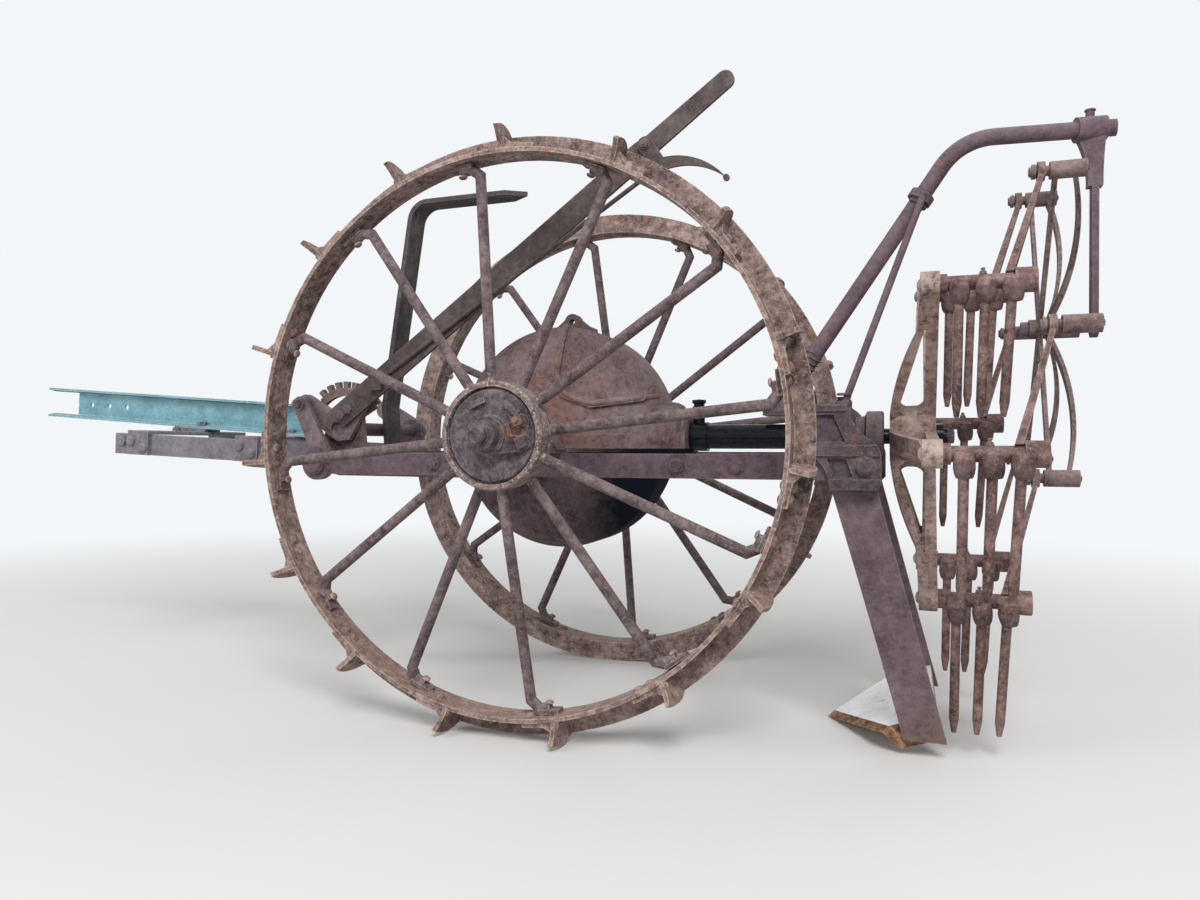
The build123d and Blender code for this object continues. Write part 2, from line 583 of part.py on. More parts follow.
def make_cross(x1, swell):
    """Plate over both bars, its ends bent down outside them, packed up to the beam."""
    x0, out = x1 - CROSS_W, FORE_Y + 6 + SEAT + CROSS_T
    outline = Polyline((x1, -out), (x1, out), (x0, out), (x0 - swell, 60), (x0 - swell, -60), (x0, -out),
                       close=True)
    cross = extrude(Plane.XY.offset(SEAT) * make_face(outline), amount=CROSS_T)
    for side in (1, -1):
        cross = cross + block(x0, x1, side * (out - CROSS_T), side * out, -FORE_H, SEAT + CROSS_T)
    packing = block(x0 - swell + 8, x1 - 8, -BEAM_W / 2 - 4, BEAM_W / 2 + 4, SEAT, SEAT + CROSS_T + BEAM_H / 2)
    over = BEAM * block(-BEAM_L - 99, 9, -BEAM_W, BEAM_W, -BEAM_H / 2 - SEAT, BEAM_H)
    return FRAME * (cross + packing) - over


def make_quadrant():
    """Toothed sector beside the rock shaft, with a window and a broad foot."""
    y0 = FORE_Y - 6 - SEAT - CRANK_T
    y1 = y0 + CRANK_T
    px, pz = ROCK
    start, end = 46.0, 150.0
    rim = make_face(Polyline((0, 0), *[(160 * cos(radians(a)), 160 * sin(radians(a)))
                                       for a in (start, 80, 115, end)], close=True))
    sector = slab(Pos(px, pz) * rim, y0, y1)
    quad = along_y(TOOTH_R, y0, y1, px, pz) & sector
    for i in range(9):
        a = 47.6 + TOOTH_PITCH * i
        gap = Pos(TOOTH_R, 0, 0) * Box(2 * TOOTH_DEPTH, 40, 10)
        quad = quad - Pos(px, (y0 + y1) / 2, pz) * Rot(0, -a, 0) * gap
    window = (along_y(74, y0 - 5, y1 + 5, px, pz) - along_y(42, y0 - 6, y1 + 6, px, pz))
    wedge = make_face(Polyline((0, 0), (160, 118), (0, 190), (-118, 150), close=True))
    quad = quad - (window & slab(Pos(px, pz) * wedge, y0 - 9, y1 + 9))
    foot = plate([(px - 52, -34), (px - 30, -80), (px + 62, -80), (px + 60, -20), (px + 40, pz + 34),
                  (px - 46, pz + 26)], y0, y1)
    return quad + foot - along_y(ROCK_R + RUN, y0 - 5, y1 + 5, px, pz)


def make_rock_bracket():
    y1 = FORE_Y - 6 - SEAT
    y0 = y1 - CRANK_T
    px, pz = ROCK
    ear = plate([(px - 50, -80), (px + 50, -80), (px + 28, pz), (px - 28, pz)], -y1, -y0)
    ear = ear + along_y(30, -y1, -y0, px, pz)
    return ear - along_y(ROCK_R + RUN, -y1 - 5, -y0 + 5, px, pz)


def make_crank(reach_back):
    """Crank on the rock shaft's end, for the lever or the right-hand link."""
    y0, y1 = CRANK_IN, CRANK_IN + CRANK_T
    px, pz = ROCK
    tx, tz = LINK_TOP
    crank = strap(ROCK, LINK_TOP, 52, y0, y1, 46)
    if reach_back:
        crank = crank + slab(make_face([
            ThreePointArc((tx - 19, tz + 16), (505, 56), (458, 70)), Line((458, 70), (430, 92)),
            Line((430, 92), (400, 78)), Line((400, 78), (450, -6)), Line((450, -6), (px + 6, pz - 26)),
            Line((px + 6, pz - 26), (tx - 6, tz - 24)), Line((tx - 6, tz - 24), (tx - 19, tz + 16))]), y0, y1)
    return crank - along_y(ROCK_R + SEAT, y0 - 5, y1 + 5, px, pz)


def make_lever():
    """Long flat bar bolted on the outside of the left crank."""
    y0 = CRANK_IN + CRANK_T + SEAT
    lever = strap(LEVER_FOOT, LEVER_GRIP, 50, y0, y0 + 9, 46)
    lever = lever + strap(LEVER_GRIP, LEVER_TIP, 38, y0, y0 + 9, 34)
    return lever - along_y(16, y0 - 5, y0 + 15, *ROCK)


def make_latch():
    """Trigger under the handle, its bracket and the rod down to the quadrant."""
    y0 = CRANK_IN + CRANK_T + 2 * SEAT + 9
    y1 = y0 + 8
    latch = strap((-226, 556), (-256, 514), 30, y0, y1, 26)
    tip = (-382, 478)
    crescent = make_face([ThreePointArc((-250, 526), (-318, 522), tip),
                          ThreePointArc(tip, (-318, 507), (-256, 502)), Line((-256, 502), (-250, 526))])
    return latch + slab(crescent, y0, y1) + along_y(6, y0, y1, *tip)


def make_latch_rod():
    face = CRANK_IN + CRANK_T + 2 * SEAT + 9
    guide = block(356, 378, face, face + 12, 100, 134)
    return rod((-245, face + 4.5, 506), (366, face + 4.5, 120), 4.5) + guide


def make_link():
    y0, y1 = LINK_IN, LINK_IN + LINK_T
    link = strap((PIN_X, BAR_Z), LINK_TOP, 44, y0, y1, 36)
    link = link - along_y(LIFT_PIN_R + RUN, y0 - 5, y1 + 5, PIN_X, BAR_Z)
    return link + along_y(14, CRANK_IN + CRANK_T + SEAT, y1 + 8, *LINK_TOP)


def make_seat_cross():
    inside = FORE_Y - 6 - 2 * SEAT - CRANK_T
    return block(388, 440, -inside, inside, -50, -42) + block(388, 394, -inside, inside, -80, -44)


def make_seat_spring():
    """Flat spring that rises from the frame and bends back to a point."""
    sole = -42 + SEAT + SEAT_T / 2
    path = FilletPolyline((412, 0, sole), (441, 0, sole), (448, 0, 72), (372, 0, 538), (96, 0, 540),
                          radius=(14, 40, 45))
    section = Plane(origin=path @ 0, x_dir=(0, 1, 0), z_dir=path % 0) * Rectangle(SEAT_W, SEAT_T)
    spring = sweep(section, path=path)
    point = Pos(96, 0, 540) * extrude(make_face(Polyline((0, 0), (58, 40), (58, 80), (-20, 80), (-20, 0),
                                                         close=True)), amount=60, both=True)
    return spring - point - across(point)


def build():
    os.makedirs("parts", exist_ok=True)
    save_pair(make_tyre(), "wheel_SIDE_tyre")
    save_pair(make_hub(), "wheel_SIDE_hub")
    save_pair(make_cover(), "wheel_SIDE_cover")

    save(make_axle(), "axle")
    case = make_case()
    save(case & block(-400, 400, -200, 200, SPLIT_Z, 400), "gear_case_upper")
    save(case & block(-400, 400, -200, 200, -400, SPLIT_Z - SEAT), "gear_case_lower")
    save_pair(make_side_bar(), "side_bar_SIDE")
    save_pair(make_axle_bracket(), "axle_bracket_SIDE")
    save_pair(make_lift_pin(), "lift_pin_SIDE")
    save(make_shaft_tube(), "shaft_tube")
    save(make_rear_casting(), "rear_casting")
    save_pair(make_standard(), "share_standard_SIDE")
    save(make_share(), "share")

    save(along_x(SHAFT_R, -225, ARM_REAR - 22) + along_x(24, ARM_REAR - SEAT, ARM_REAR - 14), "rotor_shaft")
    save(make_spider(), "spider")
    for i, fork in enumerate(make_fork_set()):
        save(fork, "fork_%d" % (i + 1))
    save(make_star(), "control_star")
    save(make_pipe(), "pipe_arm")
    save(make_hanger(), "star_hanger")
    save(make_brace(), "pipe_brace")

    save(make_beam(), "drawbar_beam")
    save_pair(make_fore_bar(), "fore_bar_SIDE")
    save(make_cross(-CROSS_BACK, CROSS_SWELL), "fore_cross_front")
    rear = BEAM_FRONT - BEAM_L + 30 + CROSS_W - FORE_FRONT
    save(make_cross(rear, 0), "fore_cross_rear")
    save(make_quadrant(), "quadrant")
    save(make_rock_bracket(), "rock_bracket")
    save(along_y(ROCK_R, -CRANK_IN - CRANK_T, CRANK_IN + CRANK_T, *ROCK), "rock_shaft")
    save(make_crank(True), "crank_left")
    save(across(make_crank(False)), "crank_right")
    save(make_lever(), "depth_lever")
    save(make_latch(), "latch_trigger")
    save(make_latch_rod(), "latch_rod")
    save_pair(make_link(), "lift_link_SIDE")
    save(make_seat_cross(), "seat_cross")
    save(make_seat_spring(), "seat_spring")


build()
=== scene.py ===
"""Looks of an old two-wheeled potato digger, built around its fixed CAD frame.

Places in MACHINE coordinates are millimetres from the centre of the wheel
axle: +X forward to the drawbar, +Y to the machine's left, +Z up. Sizes of
pieces are millimetres too; the floor, the lamps and Blender itself use metres.
"""

import json
from collections import namedtuple
from math import cos, pi, radians, sin

import bmesh
import bpy
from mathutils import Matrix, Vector
from mathutils.bvhtree import BVHTree


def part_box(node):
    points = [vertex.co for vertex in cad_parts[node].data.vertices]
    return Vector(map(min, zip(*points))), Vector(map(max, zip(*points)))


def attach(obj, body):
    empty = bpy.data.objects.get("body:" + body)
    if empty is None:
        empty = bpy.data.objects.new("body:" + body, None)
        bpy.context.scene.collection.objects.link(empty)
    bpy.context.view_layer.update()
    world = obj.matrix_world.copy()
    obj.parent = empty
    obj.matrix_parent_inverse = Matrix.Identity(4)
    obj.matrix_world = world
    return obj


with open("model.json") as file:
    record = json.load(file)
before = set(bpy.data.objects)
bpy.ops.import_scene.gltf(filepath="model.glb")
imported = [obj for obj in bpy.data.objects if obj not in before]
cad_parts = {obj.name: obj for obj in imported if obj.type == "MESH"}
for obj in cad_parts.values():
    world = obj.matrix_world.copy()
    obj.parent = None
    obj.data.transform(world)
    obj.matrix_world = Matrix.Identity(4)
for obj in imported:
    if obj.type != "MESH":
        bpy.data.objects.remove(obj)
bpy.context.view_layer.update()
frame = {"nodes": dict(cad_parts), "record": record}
nodes = frame["nodes"]

MM = 1000                       # millimetres in a metre
axle_low, axle_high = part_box("axle")
ORIGIN = (axle_low + axle_high) / 2


def at(x, y, z):
    """Point of the frame, in metres, from machine millimetres."""
    return ORIGIN + Vector((x, y, z)) / MM


# Shader nodes

MIX_A, MIX_B, MIX_RESULT = 6, 7, 2      # colour sockets of the Mix node


def grey(value):
    return (value, value, value)


def ramp(tree, factor, stops):
    """Colours at places between 0 and 1 of a factor, blended between the stops."""
    node = tree.nodes.new("ShaderNodeValToRGB")
    tree.links.new(factor, node.inputs["Fac"])
    elements = node.color_ramp.elements
    while len(elements) < len(stops):
        elements.new(0.5)
    for element, (place, colour) in zip(elements, stops):
        element.position = place
        element.color = (*colour, 1)
    return node.outputs["Color"]


def band(tree, factor, low, high):
    """0 below the low level of a factor, 1 above the high one."""
    return ramp(tree, factor, [(low, grey(0)), (high, grey(1))])


def noise(tree, coords, scale, detail, rough, stretch=None):
    """Factor of a noise texture, with a scale for each axis if stretched."""
    node = tree.nodes.new("ShaderNodeTexNoise")
    node.inputs["Scale"].default_value = scale
    node.inputs["Detail"].default_value = detail
    node.inputs["Roughness"].default_value = rough
    if stretch:
        mapping = tree.nodes.new("ShaderNodeMapping")
        mapping.inputs["Scale"].default_value = stretch
        tree.links.new(coords, mapping.inputs["Vector"])
        coords = mapping.outputs["Vector"]
    tree.links.new(coords, node.inputs["Vector"])
    return node.outputs["Fac"]


def maths(tree, operation, a, b):
    """Result of one operation, kept between 0 and 1; a and b are sockets or numbers."""
    node = tree.nodes.new("ShaderNodeMath")
    node.operation = operation
    node.use_clamp = True
    for socket, value in zip(node.inputs, (a, b)):
        if isinstance(value, (int, float)):
            socket.default_value = value
        else:
            tree.links.new(value, socket)
    return node.outputs["Value"]


def times(tree, a, b):
    return maths(tree, "MULTIPLY", a, b)


def plus(tree, a, b):
    return maths(tree, "ADD", a, b)


def blended(tree, factor, a, b):
    """Colour a where the factor is 0, b where it is 1."""
    node = tree.nodes.new("ShaderNodeMix")
    node.data_type = "RGBA"
    tree.links.new(factor, node.inputs["Factor"])
    for socket, value in ((node.inputs[MIX_A], a), (node.inputs[MIX_B], b)):
        if isinstance(value, tuple):
            socket.default_value = (*value, 1)
        else:
            tree.links.new(value, socket)
    return node.outputs[MIX_RESULT]


EDGE_COSINE, FLAT_COSINE = 0.80, 0.985  # between the rounded and the true normal


def edge_mask(tree, radius):
    """1 on edges, where the normal rounded over a radius leaves the true one."""
    bevel = tree.nodes.new("ShaderNodeBevel")
    bevel.samples = 4
    bevel.inputs["Radius"].default_value = radius
    geometry = tree.nodes.new("ShaderNodeNewGeometry")
    dot = tree.nodes.new("ShaderNodeVectorMath")
    dot.operation = "DOT_PRODUCT"
    tree.links.new(bevel.outputs["Normal"], dot.inputs[0])
    tree.links.new(geometry.outputs["Normal"], dot.inputs[1])
    stops = [(EDGE_COSINE, grey(1)), (FLAT_COSINE, grey(0))]
    return ramp(tree, dot.outputs["Value"], stops)


def up_mask(tree, low=0.15, high=0.9):
    """1 on faces that look up; low and high are the heights of the normal."""
    geometry = tree.nodes.new("ShaderNodeNewGeometry")
    split = tree.nodes.new("ShaderNodeSeparateXYZ")
    tree.links.new(geometry.outputs["Normal"], split.inputs["Vector"])
    return band(tree, split.outputs["Z"], low, high)


# A tone round a machine point: full up to the inner distance, gone past the outer
# one, broken up by a pattern of "flecks" or "clouds", or "plain"
Zone = namedtuple("Zone", "centre spread inner outer tone strength pattern")

ALONG_Y = (1.0, 0.0, 1.0)       # distances from a line along Y
FROM_PLANE = (1.0, 0.0, 0.0)    # distances from a plane across X
EVERY_WAY = (1.0, 1.0, 1.0)


def zone_mask(tree, coords, zone):
    """1 inside a zone, 0 outside it."""
    node = tree.nodes.new("ShaderNodeMapping")
    place = at(*zone.centre)
    node.inputs["Location"].default_value = [-p * s for p, s in zip(place, zone.spread)]
    node.inputs["Scale"].default_value = zone.spread
    tree.links.new(coords, node.inputs["Vector"])
    length = tree.nodes.new("ShaderNodeVectorMath")
    length.operation = "LENGTH"
    tree.links.new(node.outputs["Vector"], length.inputs[0])
    stops = [(zone.inner / MM, grey(1)), (zone.outer / MM, grey(0))]
    return ramp(tree, length.outputs["Value"], stops)


# Old iron. Noises are scale, detail and roughness; bands are levels of a noise.
LARGE_DETAIL = (6, 0.65)
MEDIUM = (62, 5, 0.7)
FINE = (170, 4, 0.7)
GRAIN = (520, 3, 0.6)
SPOTS = (26, 5, 0.7)
SPOT_BAND, SPOT_DROP = (0.62, 0.68), (0.12, 0.08)       # the more spots, the lower
SPOT_LEAST = 0.5
RUNS = (30, 4, 0.6, (3.0, 3.0, 0.25))   # drawn out up and down
TONE_PLACES = (0.39, 0.5, 0.62)
FLANK_PLACES = (0.38, 0.5, 0.62)
SPECKLE_BAND, SPECKLED = (0.52, 0.68), 0.75
DARK_BAND, DARKENED, DARKER = (0.55, 0.70), 0.6, 0.5
RUN_BAND, RUN_DARKER = (0.52, 0.7), 0.6
FLECK_BAND = (0.55, 0.62)
CLOUD_BAND = (0.40, 0.56)
FLAT_TOP = (0.86, 0.93)
DUST_BAND = (0.34, 0.62)
WORN_BAND, WORN_RADIUS = (0.38, 0.56), 0.004
GLOSS_PLACES = (0.3, 0.7)
FINE_HEIGHT, GRAIN_HEIGHT, MEDIUM_HEIGHT = 0.45, 0.25, 0.3
BUMP_DEPTH = 0.0022


def rusty(name, tones, dust=None, edge=None, patch=None, near=(), sides=None, streaks=0.0,
          mottle=0.45, blotch=12.0, rough=(0.62, 0.92), metal=0.0, spec=0.3, pits=0.5):
    """Old iron or paint, in deep, mid and light tones.

    dust, edge and patch are a tone and how much of it: on top, on worn edges and
    in spots. near holds zones, and sides three tones for faces that do not look up.
    """
    material = bpy.data.materials.new(name)
    material.use_nodes = True
    tree = material.node_tree
    shader = tree.nodes["Principled BSDF"]
    coords = tree.nodes.new("ShaderNodeTexCoord").outputs["Object"]

    large = noise(tree, coords, blotch, *LARGE_DETAIL)
    medium = noise(tree, coords, *MEDIUM)
    fine = noise(tree, coords, *FINE)
    grain = noise(tree, coords, *GRAIN)
    deep, mid, light = tones
    both = plus(tree, times(tree, large, 1 - mottle), times(tree, medium, mottle))
    colour = ramp(tree, both, list(zip(TONE_PLACES, tones)))
    speckle = band(tree, fine, *SPECKLE_BAND)
    colour = blended(tree, times(tree, speckle, SPECKLED), colour, light)
    dark = band(tree, grain, *DARK_BAND)
    colour = blended(tree, times(tree, dark, DARKENED), colour, tuple(DARKER * c for c in deep))
    if streaks:
        run = band(tree, noise(tree, coords, *RUNS), *RUN_BAND)
        colour = blended(tree, times(tree, run, streaks), colour,
                         tuple(RUN_DARKER * c for c in mid))
    if patch:
        tone, amount = patch
        low, high = (level - drop * amount for level, drop in zip(SPOT_BAND, SPOT_DROP))
        spots = band(tree, noise(tree, coords, *SPOTS), low, high)
        colour = blended(tree, times(tree, spots, min(1.0, SPOT_LEAST + amount)), colour, tone)
    patterns = {"flecks": (fine, *FLECK_BAND), "clouds": (medium, *CLOUD_BAND)}
    for zone in near:
        here = zone_mask(tree, coords, zone)
        if zone.pattern in patterns:
            here = times(tree, here, band(tree, *patterns[zone.pattern]))
        colour = blended(tree, times(tree, here, zone.strength), colour, zone.tone)
    # Faces that look up keep the main tones and the rest take the sides tones; on the share the
    # pale upper tones are a painted reflection of the sky
    if sides:
        flank = ramp(tree, medium, list(zip(FLANK_PLACES, sides)))
        colour = blended(tree, up_mask(tree, *FLAT_TOP), flank, colour)
    if dust:
        tone, amount = dust
        settled = times(tree, up_mask(tree), band(tree, fine, *DUST_BAND))
        colour = blended(tree, times(tree, settled, amount), colour, tone)
    if edge:
        tone, amount = edge
        worn = times(tree, edge_mask(tree, WORN_RADIUS), band(tree, fine, *WORN_BAND))
        colour = blended(tree, times(tree, worn, amount), colour, tone)
    tree.links.new(colour, shader.inputs["Base Color"])

    gloss = ramp(tree, fine, [(place, grey(level)) for place, level in zip(GLOSS_PLACES, rough)])
    tree.links.new(gloss, shader.inputs["Roughness"])
    shader.inputs["Metallic"].default_value = metal
    shader.inputs["Specular IOR Level"].default_value = spec

    height = plus(tree, times(tree, fine, FINE_HEIGHT), times(tree, grain, GRAIN_HEIGHT))
    height = plus(tree, height, times(tree, medium, MEDIUM_HEIGHT))
    bump = tree.nodes.new("ShaderNodeBump")
    bump.inputs["Strength"].default_value = pits
    bump.inputs["Distance"].default_value = BUMP_DEPTH
    tree.links.new(height, bump.inputs["Height"])
    tree.links.new(bump.outputs["Normal"], shader.inputs["Normal"])
    return material


PINK_DUST = (0.42, 0.33, 0.30)
PALE_LIP = (0.60, 0.52, 0.44)
ORANGE = (0.40, 0.17, 0.075)
SOIL = (0.50, 0.42, 0.35)
OIL_SPOT = (-250, 0, -120)      # middle of the oily end of the casing's lower half

LOOKS = {
    "tyre_rust": dict(
        tones=((0.060, 0.038, 0.034), (0.200, 0.136, 0.121), (0.40, 0.300, 0.268)),
        dust=((0.34, 0.225, 0.170), 0.6), edge=((0.54, 0.44, 0.34), 0.85),
        patch=((0.26, 0.11, 0.060), 0.24), pits=0.8, mottle=0.6),
    "spoke_rust": dict(
        tones=((0.040, 0.028, 0.030), (0.108, 0.076, 0.080), (0.205, 0.155, 0.157)),
        dust=(PINK_DUST, 0.25), edge=((0.52, 0.42, 0.31), 0.7),
        patch=((0.18, 0.09, 0.06), 0.1), pits=0.7, mottle=0.6,
        near=[Zone((0, 0, 0), ALONG_Y, 99, 112, (0.21, 0.155, 0.150), 0.75, "clouds"),
              Zone((0, 0, 0), ALONG_Y, 104, 116, (0.50, 0.41, 0.30), 0.75, "flecks")]),
    "cover_iron": dict(
        tones=((0.026, 0.018, 0.022), (0.070, 0.054, 0.060), (0.165, 0.14, 0.150)),
        dust=((0.34, 0.30, 0.29), 0.3), edge=((0.42, 0.37, 0.35), 0.4), pits=0.6, mottle=0.6,
        near=[Zone((-50, 392, 14), EVERY_WAY, 8, 26, (0.45, 0.20, 0.09), 0.8, "clouds")]),
    "casing_rust": dict(
        tones=((0.080, 0.043, 0.036), (0.158, 0.103, 0.099), (0.240, 0.188, 0.194)),
        dust=((0.33, 0.26, 0.25), 0.3), edge=((0.40, 0.30, 0.26), 0.45),
        patch=((0.25, 0.12, 0.070), 0.2), pits=0.5, blotch=8, streaks=0.35,
        near=[Zone((0, 0, 0), ALONG_Y, 40, 150, (0.26, 0.115, 0.065), 0.6, "clouds")]),
    "oily_iron": dict(
        tones=((0.002, 0.003, 0.005), (0.005, 0.006, 0.010), (0.013, 0.014, 0.019)),
        rough=(0.18, 0.3), pits=0.03, blotch=9, spec=0.2),
    "cast_brown": dict(
        tones=((0.037, 0.026, 0.029), (0.083, 0.058, 0.068), (0.137, 0.104, 0.116)),
        dust=((0.34, 0.28, 0.27), 0.3), edge=((0.32, 0.25, 0.23), 0.5),
        patch=((0.17, 0.085, 0.06), 0.12), pits=0.55,
        near=[Zone((-608, 226, -2), (1.0, 1.0, 0.5), 4, 16, ORANGE, 0.55, "flecks"),
              Zone((-630, 226, -36), (1.0, 1.0, 1.6), 8, 26, ORANGE, 0.5, "flecks")]),
    "frame_rust": dict(
        tones=((0.069, 0.044, 0.054), (0.122, 0.080, 0.097), (0.176, 0.124, 0.144)),
        dust=((0.36, 0.30, 0.29), 0.35), edge=((0.36, 0.29, 0.27), 0.45),
        patch=((0.17, 0.09, 0.07), 0.1), pits=0.7, streaks=0.25,
        near=[Zone((-735, 0, -545), ALONG_Y, 30, 120, (0.135, 0.092, 0.066), 0.8, "clouds")]),
    "fork_rust": dict(
        tones=((0.046, 0.026, 0.023), (0.140, 0.081, 0.073), (0.28, 0.185, 0.168)),
        dust=(PINK_DUST, 0.2), edge=((0.42, 0.34, 0.30), 0.5), pits=0.7, mottle=0.6),
    "bulb_rust": dict(
        tones=((0.036, 0.022, 0.020), (0.100, 0.062, 0.059), (0.185, 0.130, 0.125)),
        dust=(PINK_DUST, 0.15), edge=((0.34, 0.27, 0.25), 0.4), pits=0.7, mottle=0.5),
    "spider_rust": dict(
        tones=((0.080, 0.046, 0.039), (0.225, 0.140, 0.118), (0.40, 0.29, 0.25)),
        dust=(PINK_DUST, 0.45), edge=((0.42, 0.34, 0.30), 0.5), pits=0.7, mottle=0.6,
        near=[Zone((-734, 315, -30), EVERY_WAY, 26, 60, (0.43, 0.355, 0.30), 0.8, "clouds"),
              Zone((-734, 184, 258), EVERY_WAY, 26, 60, (0.36, 0.29, 0.25), 0.6, "clouds"),
              Zone((-719, 0, 0), FROM_PLANE, 6, 34, (0.40, 0.31, 0.27), 0.5, "clouds")]),
    "star_rust": dict(
        tones=((0.055, 0.035, 0.033), (0.140, 0.092, 0.088), (0.25, 0.185, 0.17)),
        dust=(PINK_DUST, 0.4), edge=((0.42, 0.34, 0.30), 0.5), pits=0.6, mottle=0.5),
    "seat_iron": dict(
        tones=((0.022, 0.017, 0.018), (0.052, 0.040, 0.042), (0.105, 0.088, 0.090)),
        dust=((0.24, 0.22, 0.23), 0.35), edge=((0.26, 0.20, 0.19), 0.45), pits=0.7),
    "link_rust": dict(
        tones=((0.095, 0.066, 0.074), (0.175, 0.128, 0.140), (0.25, 0.195, 0.205)),
        dust=((0.40, 0.33, 0.32), 0.35), edge=((0.42, 0.34, 0.32), 0.45),
        patch=((0.20, 0.11, 0.085), 0.1), pits=0.6),
    "lever_iron": dict(
        tones=((0.036, 0.027, 0.027), (0.078, 0.060, 0.059), (0.135, 0.108, 0.106)),
        dust=((0.30, 0.25, 0.24), 0.3), edge=((0.30, 0.24, 0.22), 0.45),
        patch=((0.12, 0.06, 0.045), 0.12), pits=0.7, streaks=0.3),
    "case_low": dict(
        tones=((0.050, 0.034, 0.038), (0.105, 0.073, 0.080), (0.17, 0.125, 0.13)),
        rough=(0.65, 0.85), pits=0.2, blotch=9, spec=0.05,
        near=[Zone(OIL_SPOT, (1.0, 0.6, 0.8), 130, 230, (0.005, 0.007, 0.011), 1.0, "clouds"),
              Zone(OIL_SPOT, (1.0, 0.6, 0.8), 120, 200, (0.006, 0.008, 0.012), 1.0, "plain")]),
    # The share's faces that look up: bright steel, painted near white as a painted reflection of
    # the bright sky; sides holds the brown of its bevel and flanks
    "share_steel": dict(
        tones=((0.78, 0.78, 0.79), (0.92, 0.92, 0.93), (0.95, 0.95, 0.96)),
        edge=((0.42, 0.23, 0.12), 0.5), patch=((0.45, 0.28, 0.16), 0.05),
        rough=(0.5, 0.7), metal=0.6, pits=1.0, blotch=16,
        sides=((0.085, 0.040, 0.026), (0.20, 0.098, 0.050), (0.42, 0.24, 0.13))),
    "fore_paint": dict(
        tones=((0.090, 0.076, 0.088), (0.144, 0.130, 0.150), (0.202, 0.187, 0.210)),
        dust=((0.42, 0.40, 0.39), 0.4), edge=((0.44, 0.40, 0.38), 0.55),
        patch=((0.20, 0.10, 0.07), 0.1), pits=0.45,
        near=[Zone((1050, 0, 20), EVERY_WAY, 40, 210, (0.16, 0.22, 0.24), 0.5, "clouds")]),
    "beam_paint": dict(
        tones=((0.084, 0.202, 0.233), (0.124, 0.280, 0.326), (0.192, 0.361, 0.405)),
        dust=((0.44, 0.52, 0.51), 0.4), edge=((0.60, 0.65, 0.63), 0.8),
        patch=((0.16, 0.085, 0.055), 0.06), rough=(0.4, 0.7), pits=0.3),
    "soil_crust": dict(
        tones=((0.28, 0.23, 0.19), (0.42, 0.35, 0.30), (0.52, 0.46, 0.40)),
        dust=(SOIL, 0.4), edge=(PALE_LIP, 0.4), pits=0.9, mottle=0.6),
    "dark_bolt": dict(
        tones=((0.022, 0.018, 0.020), (0.060, 0.048, 0.052), (0.13, 0.10, 0.10)),
        dust=(PINK_DUST, 0.25), edge=((0.30, 0.25, 0.23), 0.5), pits=0.6, mottle=0.6),
}
looks = {name: rusty(name, **look) for name, look in LOOKS.items()}

# Looks of whole slots and of single nodes that are not named after their slot
SLOT_LOOK = {"hub_rust": "spoke_rust", "cover_rust": "cover_iron", "casing_iron": "casing_rust"}
NODE_LOOK = {
    "spider": "spider_rust", "star_hanger": "frame_rust", "gear_case_lower": "case_low",
    "depth_lever": "lever_iron", "latch_trigger": "lever_iron", "latch_rod": "lever_iron",
    "seat_spring": "seat_iron", "quadrant": "star_rust", "crank_left": "link_rust",
    "crank_right": "link_rust", "lift_link_left": "link_rust", "lift_link_right": "link_rust",
}
for row in frame["record"]["subparts"]:
    piece = nodes[row["node"]]
    slot = row["material_slot"]
    piece.data.materials.clear()
    piece.data.materials.append(looks[NODE_LOOK.get(row["node"], SLOT_LOOK.get(slot, slot))])


# Fasteners: turned and sided shapes, set where a line meets the frame

RIGHT, LEFT = -1, 1
SIDE_NAMES = ((LEFT, "left"), (RIGHT, "right"))
FORE, SIDE, UP = Vector((1, 0, 0)), Vector((0, 1, 0)), Vector((0, 0, 1))
SEGMENTS = 24
REACH = 60.0             # how far outside a point the line to its surface starts
CORNER = 0.45            # slope of the chamfer on a nut's corners

